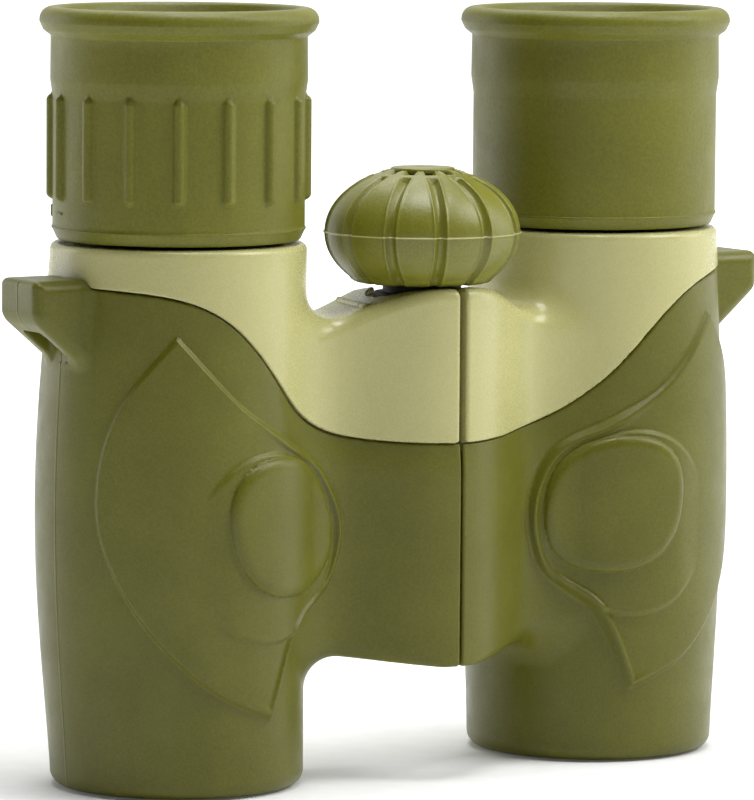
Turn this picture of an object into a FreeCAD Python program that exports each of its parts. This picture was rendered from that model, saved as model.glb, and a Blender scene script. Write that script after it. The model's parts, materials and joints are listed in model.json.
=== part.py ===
import FreeCAD, Part
import math
import os

# Compact roof-prism binoculars standing on their objective ends.
# +Z runs from the objectives up to the eyepieces, -Y is the upper side in use, -X is the half
# with the dioptre ring.  Everything is built for the -X half and mirrored for the +X half.

# Driving dimensions, in millimetres
TOTAL_HEIGHT = 100.0
BARREL_SPACING = 64.2
HINGE_SETBACK = 7.74
KNOB_RADIUS = 12.7
BARREL_SKIN_RADIUS = 16.45
BULGE_GROWTH = 1.0
BULGE_SHIFT = 0.75
BULGE_FOOT_Z = 2.0
BULGE_LENGTH = 67.0
REAR_REACH = BARREL_SKIN_RADIUS + BULGE_GROWTH + BULGE_SHIFT

BARREL_X = -BARREL_SPACING / 2
BARREL_Y = (KNOB_RADIUS + HINGE_SETBACK - REAR_REACH) / 2
HINGE_Y = BARREL_Y - HINGE_SETBACK
WEB_LENGTH = math.hypot(BARREL_X, HINGE_SETBACK)
WEB_ANGLE = math.degrees(math.atan2(HINGE_SETBACK, BARREL_X))

# Housing and armour
COLLAR_TOP = 70.0
COLLAR_CHAMFER = 1.0
TUBE_RADIUS = 15.0
TUBE_FOOT_Z = 1.2
FOOT_RADIUS = 14.5
FOOT_ROUND_Z = 1.95
RECESS_RADIUS = 13.2
RECESS_TOP = 3.0
RING_RADIUS = 12.9
RING_TOP = 4.4
GUIDE_RADIUS = 12.06
GUIDE_TOP = 21.0
BORE_RADIUS = 13.4
SPLIT_MIDDLE_Z = 54.6
SPLIT_RISE = 10.6
SPLIT_MIDDLE_X = 4.3
SPLIT_WIDTH = 9.5

# Wing and hinge
WING_FOOT = 15.6
WING_TOP = 63.2
WING_HALF = 7.6
WING_HINGE_RADIUS = 9.8
ARMOUR_SKIN = 1.4
HINGE_CAVITY = 6.6
HINGE_MOUTH = 7.2
HINGE_MOUTH_FOOT = 62.2
HUB_RADIUS = 6.2
HUB_ARM = 10.0
HUB_ARM_HALF = 5.6
WING_HOLLOW_HALF = 4.2
WING_HOLLOW_FOOT = 21.2
WING_HOLLOW_TOP = 58.0
TUBE_OUTER = 3.4
TUBE_INNER = 2.6
RUNNING = 0.06
SEAM_ANGLE = 2.3
REAR_ANGLE = 26.0
LEFT_HUBS = [(17.0, 20.5), (40.7, 46.3), (55.0, 62.0)]
RIGHT_HUBS = [(34.0, 40.0), (47.0, 54.3)]
WASHER_FEET = [40.1, 46.4, 54.4]
WASHER_THICKNESS = 0.5

# Strap lug
LUG_REACH = 23.9
LUG_ROOT_REACH = 14.6
LUG_HALF = 4.5
LUG_TOP = 66.0
LUG_FACE_FOOT = 61.0
LUG_ROOT_FOOT = 53.5
SLOT_INNER = 18.1
SLOT_OUTER = 22.4
SLOT_HALF = 2.4
SLOT_ROOF = 64.0
SLOT_EXIT_FOOT = 60.0

# Objectives
CELL_RADIUS = 12.0
CELL_BORE = 10.85
CELL_FOOT = 6.6
CELL_TOP = 20.0
OBJECTIVE_RADIUS = 10.8
CROWN_FOOT = 9.4
CROWN_TOP = 11.0
CROWN_BOWS = (0.8, 0.7)
FLINT_TOP = 13.4
SEAT_BORE = 9.8
SEAT_FOOT = 13.5
SEAT_TOP = 14.5
RETAINER_BORE = 9.9
RETAINER_FOOT = 8.1
RETAINER_TOP = 9.2
FRONT_WINDOW = 11.2
RISER_REACH = 11.9
RISER_FOOT = 18.0
ARM_END_REACH = 9.9

# Prisms
HOLDER_RADIUS = 13.35
HOLDER_FOOT = 31.4
HOLDER_TOP = 58.4
HOLDER_WINDOW = 6.0
POCKET_FOOT = 34.0
POCKET_HALF_X = 10.0
POCKET_HALF_Y = 6.2
PRISM_HALF_X = 9.5
PRISM_HALF_Y = 6.0
LOWER_PRISM_FOOT = 34.3
LOWER_PRISM_TOPS = (45.9, 38.0)
ROOF_PRISM_FEET = (46.5, 38.6)
ROOF_PRISM_TOP = 58.0
ROOF_SLOPE = 8.0
CLIP_RADIUS = 12.6
CLIP_WINDOW = 5.5
CLIP_THICKNESS = 0.8
PRISM_SCREW_REACH = 9.6
PRISM_SCREW_RADIUS = 0.8
PRISM_SCREW_DEPTH = 6.0
PRISM_SCREW_HEAD = 1.5
PRISM_SCREW_HEAD_HEIGHT = 0.9
BAFFLE_FOOT = 30.3
BAFFLE_TOP = 31.3
BAFFLE_WINDOW = 7.0

# Focus train
SPOOL_MIDDLE = 27.2
SPOOL_HALF = 3.0
SPOOL_RADIUS = 6.0
GROOVE_RADIUS = 4.6
GROOVE_HALF = 1.1
TONGUE_HALF = 1.0
TONGUE_CLEARANCE = 0.12
ARM_HALF = 3.0
ARM_WINDOW_HALF = 3.4
ARM_WINDOW_FOOT = 24.0
ARM_WINDOW_TOP = 30.5
PIN_RADIUS = 0.6
SCREW_RADIUS = 1.5
NUT_RADIUS = 2.52
KNOB_MIDDLE = 70.7
KNOB_HALF_HEIGHT = 8.5
KNOB_FOOT = 64.9
COVER_FOOT = 64.5
KNOB_SHOULDER = 78.4
KNOB_GROOVES = 12
GROOVE_START = 8.3
KNOB_GROOVE_WIDTH = 1.3
KNOB_GROOVE_DEPTH = 0.6
KNOB_GROOVE_INNER = 4.6
CORE_RADIUS = 6.4
CORE_TOP = 76.6
CORE_SOCKET_TOP = 66.2
SCREW_FOOT = 23.2
SCREW_HEAD_RADIUS = 3.0
SCREW_HEAD_FOOT = 74.4
SCREW_HEAD_TOP = 75.8
CAP_RADIUS = 4.05
CAP_TOP = 79.05
CAP_STEM_RADIUS = 1.6
CAP_STEM_TOP = 78.7
CLIP_RING_RADIUS = 2.4
CLIP_RING_FOOT = 59.1
CLIP_RING_TOP = 59.8
NUT_FOOT = 24.6
NUT_TOP = 29.8
PIN_START = 2.0
PIN_LENGTH = 2.5

# Hinge axle
AXLE_FOOT = 17.0
AXLE_TOP = 65.6
AXLE_SLOT_HALF = 0.7
AXLE_SLOT_HALF_LENGTH = 4.8
WASHER_RADIUS = 6.0
WASHER_PLAY = 0.03
PLUG_BORE = 1.0
PLUG_TOP = 21.6
END_CAP_RADIUS = 6.1
END_CAP_BORE = 1.05
HINGE_SCREW_TOP = 20.6
HINGE_SCREW_HEAD_RADIUS = 2.2
HINGE_SCREW_HEAD_FOOT = 15.0
BUSH_FOOT = 60.0
BUSH_TOP = 64.0
TOP_COLLAR_FOOT = 62.0
TOP_COLLAR_STEP = 62.9
TOP_COLLAR_TOP = 64.2
TOP_COLLAR_NECK = 5.1
KNOB_WASHER_TOP = 64.6
KNOB_WASHER_RADIUS = 4.9
KNOB_WASHER_BORE = 3.6

# Eyepieces
EYECUP_FOOT = 70.4
EYECUP_FOOT_RADIUS = 15.5
EYECUP_RADIUS = 16.15
EYECUP_CHAMFER_TOP = 71.9
RIM_NECK_RADIUS = 16.5
RIM_NECK_FEET = (89.5, 90.2)
RIM_NECK_TOP = 96.3
RIM_UNDERSIDE = (17.25, 96.95)
LIP_RADIUS = 17.8
LIP_DOWN = 1.8
CREST_RADIUS = 16.2
THROAT_RADIUS = 14.3
THROAT_DOWN = 1.6
HOLLOW_LIP_DOWN = 4.4
EYE_HOLLOW_RADIUS = 13.5
HOLLOW_FLOOR = 89.3
FLANGE_WELL = 13.0
FLANGE_WELL_FLOOR = 88.4
FLANGE_RADIUS = 12.9
FLANGE_FOOT = 88.5
FLANGE_TOP = 89.2
LENS_TUBE_RADIUS = 12.3
LENS_TUBE_FOOT = 63.0
LENS_TUBE_WINDOW = 7.6
LENS_RADIUS = 8.9
FIELD_LENS_FOOT = 67.0
FIELD_LENS_TOP = 68.8
FIELD_LENS_BOW = 1.4
SPACER_BORE = 7.9
SPACER_FOOT = 69.12
SPACER_TOP = 81.0
EYE_LENS_FOOT = 81.4
EYE_LENS_TOP = 84.0
EYE_LENS_BOWS = (1.5, 0.9)
EYE_RETAINER_BORE = 7.2
EYE_RETAINER_FOOT = 84.33
EYE_RETAINER_TOP = 86.6
GUIDE_TUBE_FOOT = 60.5
GUIDE_TUBE_TOP = 76.0
KEY_HALF = 1.0
KEY_SLOT_HALF = 1.06
KEY_REACH = 13.0
KEY_SLOT_REACH = 13.1
KEY_TOP = 68.0
KEY_SLOT_TOP = 69.2
DIOPTRE_NUT_RADIUS = 14.8
DIOPTRE_NUT_FOOT = 70.8
DIOPTRE_NUT_TOP = 76.8
RIGHT_SLEEVE_FOOT = 62.0
RIGHT_SLEEVE_TOP = 69.8
RIGHT_SPIGOT_RADIUS = 13.6
RIGHT_SPIGOT_TOP = 71.4
DIOPTRE_RIBS = 16
FIRST_RIB = -120.4
RIB_ROOT = 15.8
RIB_FOOT = 75.5
RIB_TOP = 88.8
RIB_WIDTH = 1.4
RIB_REACH = 16.85
RIGHT_EYECUP_DROP = 1.0


def point(x, y, z):
    return FreeCAD.Vector(x, y, z)


BARREL = point(BARREL_X, BARREL_Y, 0)
HINGE = point(0, HINGE_Y, 0)
UP = point(0, 0, 1)


def disc(radius, foot, top, centre):
    return Part.makeCylinder(radius, top - foot, centre + point(0, 0, foot))


def ring(outer, inner, foot, top, centre):
    return disc(outer, foot, top, centre).cut(disc(inner, foot - 1, top + 1, centre))


def edge_chain(steps):
    """Edges through a closed outline; a step is a point, or a (middle, end) pair for an arc."""
    edges = []
    here = steps[-1][1] if isinstance(steps[-1], tuple) else steps[-1]
    for step in steps:
        if isinstance(step, tuple):
            edges.append(Part.Arc(here, step[0], step[1]).toShape())
            here = step[1]
        else:
            edges.append(Part.LineSegment(here, step).toShape())
            here = step
    return edges


def turned(steps, centre):
    """Revolve an outline of (radius, z) steps about the vertical through centre."""

    def lift(pair):
        return point(pair[0], 0, pair[1])

    outline = []
    for step in steps:
        if isinstance(step[0], tuple):
            outline.append((lift(step[0]), lift(step[1])))
        else:
            outline.append(lift(step))
    face = Part.Face(Part.Wire(edge_chain(outline)))
    solid = face.revolve(point(0, 0, 0), UP, 360)
    solid.translate(centre)
    return solid


def prism(points, height):
    """Extrude a closed polygon of points along the height vector."""
    face = Part.Face(Part.makePolygon(points + [points[0]]))
    return face.extrude(height)


def toward_barrel(length, half_width, foot, top, start=0.0):
    """A bar that leaves the hinge axis for the -X barrel."""
    bar = Part.makeBox(length - start, 2 * half_width, top - foot, point(start, -half_width, foot))
    bar.rotate(point(0, 0, 0), UP, WEB_ANGLE)
    bar.translate(HINGE)
    return bar


def mirrored(shape):
    return shape.mirror(point(0, 0, 0), point(1, 0, 0))


def for_side(side, shape):
    return mirrored(shape) if side == "right" else shape


def write(name, shape):
    if not shape.isValid() or shape.Volume <= 0:
        raise ValueError("bad solid: " + name)
    shape.exportStep("parts/" + name + ".step")


def join(first, others):
    for other in others:
        first = first.fuse(other)
    return first.removeSplitter()


# Outer skins

def bulge(z):
    """How much of the palm bulge is present at a height, 0 to 1."""
    wave = math.sin(math.pi * (z - BULGE_FOOT_Z) / BULGE_LENGTH)
    return max(0.0, wave) ** 1.15


def skin_section(z):
    grow = bulge(z)
    centre = BARREL + point(-BULGE_SHIFT * grow, BULGE_SHIFT * grow, z)
    circle = Part.Circle(centre, UP, BARREL_SKIN_RADIUS + BULGE_GROWTH * grow)
    return Part.Wire(circle.toShape())


def skin_loft():
    """The barrel's bulging side."""
    heights = [FOOT_ROUND_Z, 8, 15, 22, 30, 37, 44, 52, 60, COLLAR_TOP - COLLAR_CHAMFER]
    return Part.makeLoft([skin_section(z) for z in heights], True, False)


def barrel_skin():
    """The gripped outside of one barrel, from its rounded foot to its chamfered collar."""
    round_over_edge = 0.57
    middle = (BARREL_SKIN_RADIUS - round_over_edge, round_over_edge)
    foot = turned([(0, 0), (FOOT_RADIUS, 0), (middle, (BARREL_SKIN_RADIUS, FOOT_ROUND_Z)),
                   (0, FOOT_ROUND_Z)], BARREL)
    neck = BARREL_SKIN_RADIUS
    chamfer_foot = COLLAR_TOP - COLLAR_CHAMFER
    collar = turned([(0, chamfer_foot), (neck, chamfer_foot),
                     (neck - COLLAR_CHAMFER, COLLAR_TOP), (0, COLLAR_TOP)], BARREL)
    return join(skin_loft(), [foot, collar])


def wing(half_thickness, hinge_radius, foot):
    web = toward_barrel(WEB_LENGTH, half_thickness, foot, WING_TOP)
    return web.fuse(disc(hinge_radius, foot, WING_TOP, HINGE))


def other_half_space():
    """Everything past the seam and the rear fold gap, as seen from the -X half."""
    far = 80.0
    front = math.radians(-90 - SEAM_ANGLE)
    rear = math.radians(90 + REAR_ANGLE)
    corners = [HINGE, HINGE + point(far * math.cos(front), far * math.sin(front), 0),
               HINGE + point(far, -far, 0), HINGE + point(far, far, 0),
               HINGE + point(far * math.cos(rear), far * math.sin(rear), 0)]
    wedge = prism(corners, point(0, 0, 120))
    wedge.translate(point(0, 0, -10))
    return wedge


def split_height(inward):
    """Height of the line between armour and bare housing, at a distance inward of the axis."""
    return SPLIT_MIDDLE_Z + SPLIT_RISE * math.tanh((SPLIT_MIDDLE_X - inward) / SPLIT_WIDTH)


def bare_region():
    """The space above the armour's edge, where the housing shows."""
    curve = Part.BSplineCurve()
    steps = [-30 + 7.5 * k for k in range(10)]
    curve.interpolate([point(BARREL_X + s, -60, split_height(s)) for s in steps])
    start = curve.StartPoint
    end = curve.EndPoint
    roof_end = point(end.x, -60, 130)
    roof_start = point(start.x, -60, 130)
    edges = [curve.toShape(), Part.LineSegment(end, roof_end).toShape(),
             Part.LineSegment(roof_end, roof_start).toShape(),
             Part.LineSegment(roof_start, start).toShape()]
    return Part.Face(Part.Wire(edges)).extrude(point(0, 120, 0))


def housing_core():
    """The plastic moulding without its bare upper skin."""
    tube = disc(TUBE_RADIUS, TUBE_FOOT_Z, COLLAR_TOP, BARREL)
    inner_wing = wing(WING_HALF - ARMOUR_SKIN, WING_HINGE_RADIUS - ARMOUR_SKIN,
                      WING_FOOT + ARMOUR_SKIN)
    return tube.fuse(inner_wing)


def hubs(spans, bore):
    """Knuckles round the hinge tube, each on an arm that reaches the wing's walls."""
    parts = []
    for foot, top in spans:
        arm = toward_barrel(HUB_ARM, HUB_ARM_HALF, foot, top).cut(OTHER_HALF)
        knuckle = disc(HUB_RADIUS, foot, top, HINGE).fuse(arm)
        parts.append(knuckle.cut(disc(bore, foot - 1, top + 1, HINGE)))
    return parts


SKIN = barrel_skin().fuse(wing(WING_HALF, WING_HINGE_RADIUS, WING_FOOT))
CORE = housing_core()
BARE = bare_region()
OTHER_HALF = other_half_space()
HINGE_WELL = disc(HINGE_CAVITY, 0, TOTAL_HEIGHT, HINGE)
HINGE_WELL = HINGE_WELL.fuse(disc(HINGE_MOUTH, HINGE_MOUTH_FOOT, TOTAL_HEIGHT, HINGE))


def housing(spans, bore):
    shell = SKIN.common(BARE).fuse(CORE)
    shell = shell.cut(OTHER_HALF).cut(HINGE_WELL)
    shell = shell.cut(disc(BORE_RADIUS, GUIDE_TOP, 80, BARREL))
    shell = shell.cut(disc(GUIDE_RADIUS, 0, GUIDE_TOP + 1, BARREL))
    shell = shell.cut(disc(RECESS_RADIUS, 0, RECESS_TOP, BARREL))
    shell = shell.cut(disc(RING_RADIUS, 0, RING_TOP, BARREL))
    web_end = WEB_LENGTH - TUBE_RADIUS - 1.0
    shell = shell.cut(toward_barrel(web_end, WING_HOLLOW_HALF, WING_HOLLOW_FOOT, WING_HOLLOW_TOP))
    shell = shell.cut(toward_barrel(WEB_LENGTH, ARM_WINDOW_HALF, ARM_WINDOW_FOOT, ARM_WINDOW_TOP))
    for knuckle in hubs(spans, bore):
        shell = shell.fuse(knuckle)
    return shell.cut(disc(bore, 0, 90, HINGE)).removeSplitter()


def lug():
    """The strap lug, and the slot that runs in from below and out at the back."""

    def at(reach, z):
        return point(BARREL_X - reach, BARREL_Y - LUG_HALF, z)

    outline = [at(LUG_ROOT_REACH, LUG_TOP), at(LUG_REACH, LUG_TOP),
               at(LUG_REACH, LUG_FACE_FOOT), at(LUG_ROOT_REACH, LUG_ROOT_FOOT)]
    block = prism(outline, point(0, 2 * LUG_HALF, 0))
    block = block.cut(SKIN.common(BARE)).cut(CORE)
    width = SLOT_OUTER - SLOT_INNER
    start = BARREL + point(-SLOT_OUTER, -SLOT_HALF, LUG_ROOT_FOOT - 5)
    slot = Part.makeBox(width, 2 * SLOT_HALF, SLOT_ROOF - start.z, start)
    way_out = Part.makeBox(width, LUG_HALF + 1, SLOT_ROOF - SLOT_EXIT_FOOT,
                           BARREL + point(-SLOT_OUTER, 0, SLOT_EXIT_FOOT))
    return block, slot.fuse(way_out)


def armour():
    block, slot = lug()
    sleeve = SKIN.cut(BARE).cut(CORE).cut(OTHER_HALF).cut(HINGE_WELL)
    sleeve = sleeve.cut(disc(RECESS_RADIUS, -1, TUBE_FOOT_Z + 1, BARREL))
    return sleeve.fuse(block).cut(slot).removeSplitter()


# Objectives

def bowed(radius, bow, z, away):
    """Middle of the arc from a lens's rim at height z to its pole, bowed up or down by away."""
    curve = (radius * radius + bow * bow) / (2 * bow)
    half = math.asin(radius / curve) / 2
    return (curve * math.sin(half), z + away * (bow - curve * (1 - math.cos(half))))


def lens(radius, foot, top, foot_bow, top_bow, centre):
    """A round lens; a positive bow bulges outward past the rim, a negative one is hollow."""
    outline = [(0, foot - foot_bow), (radius, foot), (radius, top), (0, top + top_bow)]
    if foot_bow:
        outline[1] = (bowed(radius, foot_bow, foot, -1), outline[1])
    if top_bow:
        outline[3] = (bowed(radius, top_bow, top, 1), outline[3])
    return turned(outline, centre)


def objective_cell():
    """The sliding lens cell, with the arm that reaches into the focus spool's groove."""
    wall = ring(CELL_RADIUS, CELL_BORE, CELL_FOOT, CELL_TOP, BARREL)
    seat = ring(CELL_RADIUS - 0.5, SEAT_BORE, SEAT_FOOT, SEAT_TOP, BARREL)
    arm_top = SPOOL_MIDDLE + TONGUE_HALF
    near = WEB_LENGTH - RISER_REACH
    arm_end = WEB_LENGTH - ARM_END_REACH
    riser = toward_barrel(arm_end, ARM_HALF, RISER_FOOT, arm_top, near)
    riser = riser.cut(disc(CELL_BORE, 0, CELL_TOP - 1, BARREL))
    riser = riser.common(disc(CELL_RADIUS, 0, 2 * CELL_TOP, BARREL))
    arm = toward_barrel(arm_end, ARM_HALF, SPOOL_MIDDLE - TONGUE_HALF, arm_top, 1.0)
    arm = arm.cut(disc(GROOVE_RADIUS + TONGUE_CLEARANCE, 0, COLLAR_TOP, HINGE))
    return join(wall, [seat, riser, arm])


def objective_parts(side):
    write(side + "_objective_cell", for_side(side, objective_cell()))
    foot_bow, top_bow = CROWN_BOWS
    crown = lens(OBJECTIVE_RADIUS, CROWN_FOOT, CROWN_TOP, foot_bow, top_bow, BARREL)
    flint = lens(OBJECTIVE_RADIUS, CROWN_TOP, FLINT_TOP, -top_bow, 0.0, BARREL)
    write(side + "_objective_crown", for_side(side, crown))
    write(side + "_objective_flint", for_side(side, flint))
    retainer = ring(CELL_BORE, RETAINER_BORE, RETAINER_FOOT, RETAINER_TOP, BARREL)
    write(side + "_objective_retainer", for_side(side, retainer))
    front_ring = ring(RING_RADIUS, FRONT_WINDOW, RECESS_TOP, RING_TOP, BARREL)
    write(side + "_front_ring", for_side(side, front_ring))


# Prisms

def prism_screw_places():
    return [BARREL + point(0, sign * PRISM_SCREW_REACH, 0) for sign in (-1, 1)]


def prism_holder():
    """The holder with its prism pocket, and the clip over it, both bored for the screws."""
    holder = disc(HOLDER_RADIUS, HOLDER_FOOT, HOLDER_TOP, BARREL)
    pocket = Part.makeBox(2 * POCKET_HALF_X, 2 * POCKET_HALF_Y, HOLDER_TOP - POCKET_FOOT,
                          BARREL + point(-POCKET_HALF_X, -POCKET_HALF_Y, POCKET_FOOT))
    holder = holder.cut(pocket).cut(disc(HOLDER_WINDOW, HOLDER_FOOT - 1, POCKET_FOOT + 1, BARREL))
    clip_top = HOLDER_TOP + CLIP_THICKNESS
    clip = ring(CLIP_RADIUS, CLIP_WINDOW, HOLDER_TOP, clip_top, BARREL)
    screws = []
    for place in prism_screw_places():
        shank = disc(PRISM_SCREW_RADIUS, HOLDER_TOP - PRISM_SCREW_DEPTH, clip_top, place)
        head = disc(PRISM_SCREW_HEAD, clip_top, clip_top + PRISM_SCREW_HEAD_HEIGHT, place)
        screws.append(join(shank, [head]))
        holder = holder.cut(shank)
        clip = clip.cut(shank)
    return holder, clip, screws


def prisms():
    """The wedge-shaped lower prism and the roof prism, with a narrow air gap between them."""

    def at(x, z):
        return BARREL + point(x, -PRISM_HALF_Y, z)

    depth = point(0, 2 * PRISM_HALF_Y, 0)
    half = PRISM_HALF_X
    outer_top, inner_top = LOWER_PRISM_TOPS
    lower = prism([at(-half, LOWER_PRISM_FOOT), at(half, LOWER_PRISM_FOOT), at(half, inner_top),
                   at(-half, outer_top)], depth)
    outer_foot, inner_foot = ROOF_PRISM_FEET
    roof = prism([at(-half, outer_foot), at(half, inner_foot), at(half, ROOF_PRISM_TOP),
                  at(-half, ROOF_PRISM_TOP)], depth)
    for sign in (-1, 1):
        side = sign * ROOF_SLOPE
        corner = [BARREL + point(x, y, HOLDER_FOOT)
                  for x, y in ((half, 0), (half + 2, 0), (half + 2, side),
                               (half - ROOF_SLOPE, side))]
        roof = roof.cut(prism(corner, point(0, 0, HOLDER_TOP)))
    return lower, roof


def prism_parts(side):
    holder, clip, screws = prism_holder()
    lower, roof = prisms()
    write(side + "_prism_holder", for_side(side, holder))
    write(side + "_lower_prism", for_side(side, lower))
    write(side + "_roof_prism", for_side(side, roof))
    write(side + "_prism_clip", for_side(side, clip))
    write(side + "_prism_screws", for_side(side, Part.makeCompound(screws)))
    baffle = ring(HOLDER_RADIUS, BAFFLE_WINDOW, BAFFLE_FOOT, BAFFLE_TOP, BARREL)
    write(side + "_baffle", for_side(side, baffle))


# Eyepieces

def round_over(start, crest):
    """Arc step from start that arrives level at crest."""
    run = start[0] - crest[0]
    fall = crest[1] - start[1]
    radius = (run * run + fall * fall) / (2 * fall)
    middle = (math.atan2(radius - fall, run) + math.pi / 2) / 2
    return (crest[0] + radius * math.cos(middle), crest[1] - radius + radius * math.sin(middle))


def eyecup(drop, bore, spigot_radius, spigot_top):
    """A soft cup: straight grip, narrow step, flared rim and a round hollow for the eye."""
    top = TOTAL_HEIGHT - drop
    crest = (CREST_RADIUS, top)
    lip = (LIP_RADIUS, top - LIP_DOWN)
    throat = (THROAT_RADIUS, top - THROAT_DOWN)
    step_foot, step_top = RIM_NECK_FEET
    underside = (RIM_UNDERSIDE[0], RIM_UNDERSIDE[1] - drop)
    steps = [(spigot_radius, EYECUP_FOOT), (EYECUP_FOOT_RADIUS, EYECUP_FOOT),
             (EYECUP_RADIUS, EYECUP_CHAMFER_TOP), (EYECUP_RADIUS, step_foot - drop),
             (RIM_NECK_RADIUS, step_top - drop), (RIM_NECK_RADIUS, RIM_NECK_TOP - drop),
             (underside, lip), (round_over(lip, crest), crest), (round_over(throat, crest), throat),
             (EYE_HOLLOW_RADIUS, top - HOLLOW_LIP_DOWN), (EYE_HOLLOW_RADIUS, HOLLOW_FLOOR),
             (FLANGE_WELL, HOLLOW_FLOOR), (FLANGE_WELL, FLANGE_WELL_FLOOR),
             (bore, FLANGE_WELL_FLOOR), (bore, spigot_top), (spigot_radius, spigot_top)]
    return turned(steps, BARREL)


def rib(angle):
    """One grip rib with full-round ends, standing off the cup's side."""
    length = RIB_REACH - RIB_ROOT
    half = RIB_WIDTH / 2
    low = RIB_FOOT + half
    high = RIB_TOP - half
    bar = Part.makeBox(length, RIB_WIDTH, high - low, point(RIB_ROOT, -half, low))
    ends = [Part.makeCylinder(half, length, point(RIB_ROOT, 0, z), point(1, 0, 0))
            for z in (low, high)]
    solid = join(bar, ends)
    solid.rotate(point(0, 0, 0), UP, angle)
    solid.translate(BARREL)
    return solid


def lens_tube():
    """The barrel that holds the eyepiece lenses, with a flange over the cup's shoulder."""
    body = disc(LENS_TUBE_RADIUS, LENS_TUBE_FOOT, FLANGE_TOP, BARREL)
    body = body.fuse(disc(FLANGE_RADIUS, FLANGE_FOOT, FLANGE_TOP, BARREL))
    body = body.cut(disc(LENS_RADIUS, FIELD_LENS_FOOT, FLANGE_TOP + 1, BARREL))
    return body.cut(disc(LENS_TUBE_WINDOW, LENS_TUBE_FOOT - 1, FIELD_LENS_FOOT + 1, BARREL))


def eyepiece_optics(side):
    field = lens(LENS_RADIUS, FIELD_LENS_FOOT, FIELD_LENS_TOP, 0.0, FIELD_LENS_BOW, BARREL)
    write(side + "_field_lens", for_side(side, field))
    spacer = ring(LENS_RADIUS, SPACER_BORE, SPACER_FOOT, SPACER_TOP, BARREL)
    write(side + "_lens_spacer", for_side(side, spacer))
    foot_bow, top_bow = EYE_LENS_BOWS
    eye = lens(LENS_RADIUS, EYE_LENS_FOOT, EYE_LENS_TOP, foot_bow, top_bow, BARREL)
    write(side + "_eye_lens", for_side(side, eye))
    retainer = ring(LENS_RADIUS, EYE_RETAINER_BORE, EYE_RETAINER_FOOT, EYE_RETAINER_TOP, BARREL)
    write(side + "_eye_retainer", for_side(side, retainer))


def key_bar(half_width, reach, foot, top):
    bar = Part.makeBox(reach, 2 * half_width, top - foot, point(0, -half_width, foot))
    bar.translate(BARREL)
    return bar


def left_eyepiece():
    """The adjustable eyepiece: keyed guide, lens tube, and the ribbed cup with its nut."""
    bore = LENS_TUBE_RADIUS + RUNNING
    guide = ring(BORE_RADIUS, bore, GUIDE_TUBE_FOOT, GUIDE_TUBE_TOP, BARREL)
    guide = guide.cut(key_bar(KEY_SLOT_HALF, KEY_SLOT_REACH, GUIDE_TUBE_FOOT - 1, KEY_SLOT_TOP))
    key = key_bar(KEY_HALF, KEY_REACH, LENS_TUBE_FOOT, KEY_TOP)
    key = key.cut(disc(LENS_TUBE_RADIUS - 0.3, 0, COLLAR_TOP, BARREL))
    write("left_eyepiece_guide", guide)
    write("left_lens_tube", join(lens_tube(), [key]))
    nut = ring(DIOPTRE_NUT_RADIUS, BORE_RADIUS + RUNNING, DIOPTRE_NUT_FOOT, DIOPTRE_NUT_TOP,
               BARREL)
    cup = eyecup(0.0, bore, DIOPTRE_NUT_RADIUS, DIOPTRE_NUT_TOP)
    step = 360.0 / DIOPTRE_RIBS
    ribs = [rib(FIRST_RIB + step * k) for k in range(DIOPTRE_RIBS)]
    write("left_eyecup", join(cup, ribs))
    write("left_dioptre_nut", nut)


def right_eyepiece():
    """The fixed eyepiece: a sleeve seats the lens tube in the housing and carries the cup."""
    sleeve = ring(BORE_RADIUS, LENS_TUBE_RADIUS - 0.3, RIGHT_SLEEVE_FOOT, RIGHT_SLEEVE_TOP,
                  BARREL)
    write("right_lens_tube", mirrored(join(lens_tube(), [sleeve])))
    cup = eyecup(RIGHT_EYECUP_DROP, LENS_TUBE_RADIUS, RIGHT_SPIGOT_RADIUS, RIGHT_SPIGOT_TOP)
    write("right_eyecup", mirrored(cup))


# Hinge and focus train

def hinge_parts():
    tube = ring(TUBE_OUTER, TUBE_INNER, AXLE_FOOT, AXLE_TOP, HINGE)
    slot = Part.makeBox(2 * AXLE_SLOT_HALF, 2 * TUBE_OUTER + 2, 2 * AXLE_SLOT_HALF_LENGTH,
                        HINGE + point(-AXLE_SLOT_HALF, -TUBE_OUTER - 1,
                                      SPOOL_MIDDLE - AXLE_SLOT_HALF_LENGTH))
    write("hinge_tube", tube.cut(slot))
    washers = [ring(WASHER_RADIUS, TUBE_OUTER + WASHER_PLAY, z, z + WASHER_THICKNESS, HINGE)
               for z in WASHER_FEET]
    write("hinge_washers", Part.makeCompound(washers))
    write("hinge_plug", ring(TUBE_INNER, PLUG_BORE, AXLE_FOOT, PLUG_TOP, HINGE))
    write("hinge_end_cap", ring(END_CAP_RADIUS, END_CAP_BORE, WING_FOOT, AXLE_FOOT, HINGE))
    shank = disc(PLUG_BORE, WING_FOOT, HINGE_SCREW_TOP, HINGE)
    head = disc(HINGE_SCREW_HEAD_RADIUS, HINGE_SCREW_HEAD_FOOT, WING_FOOT, HINGE)
    write("hinge_screw", join(shank, [head]))
    write("screw_bush", ring(TUBE_INNER, SCREW_RADIUS + RUNNING, BUSH_FOOT, BUSH_TOP, HINGE))
    flange = ring(HUB_RADIUS, TUBE_OUTER, TOP_COLLAR_FOOT, TOP_COLLAR_STEP, HINGE)
    neck = ring(TOP_COLLAR_NECK, TUBE_OUTER, TOP_COLLAR_STEP, TOP_COLLAR_TOP, HINGE)
    write("top_collar", join(flange, [neck]))
    washer = ring(KNOB_WASHER_RADIUS, KNOB_WASHER_BORE, TOP_COLLAR_TOP, KNOB_WASHER_TOP, HINGE)
    write("knob_washer", washer)


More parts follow.
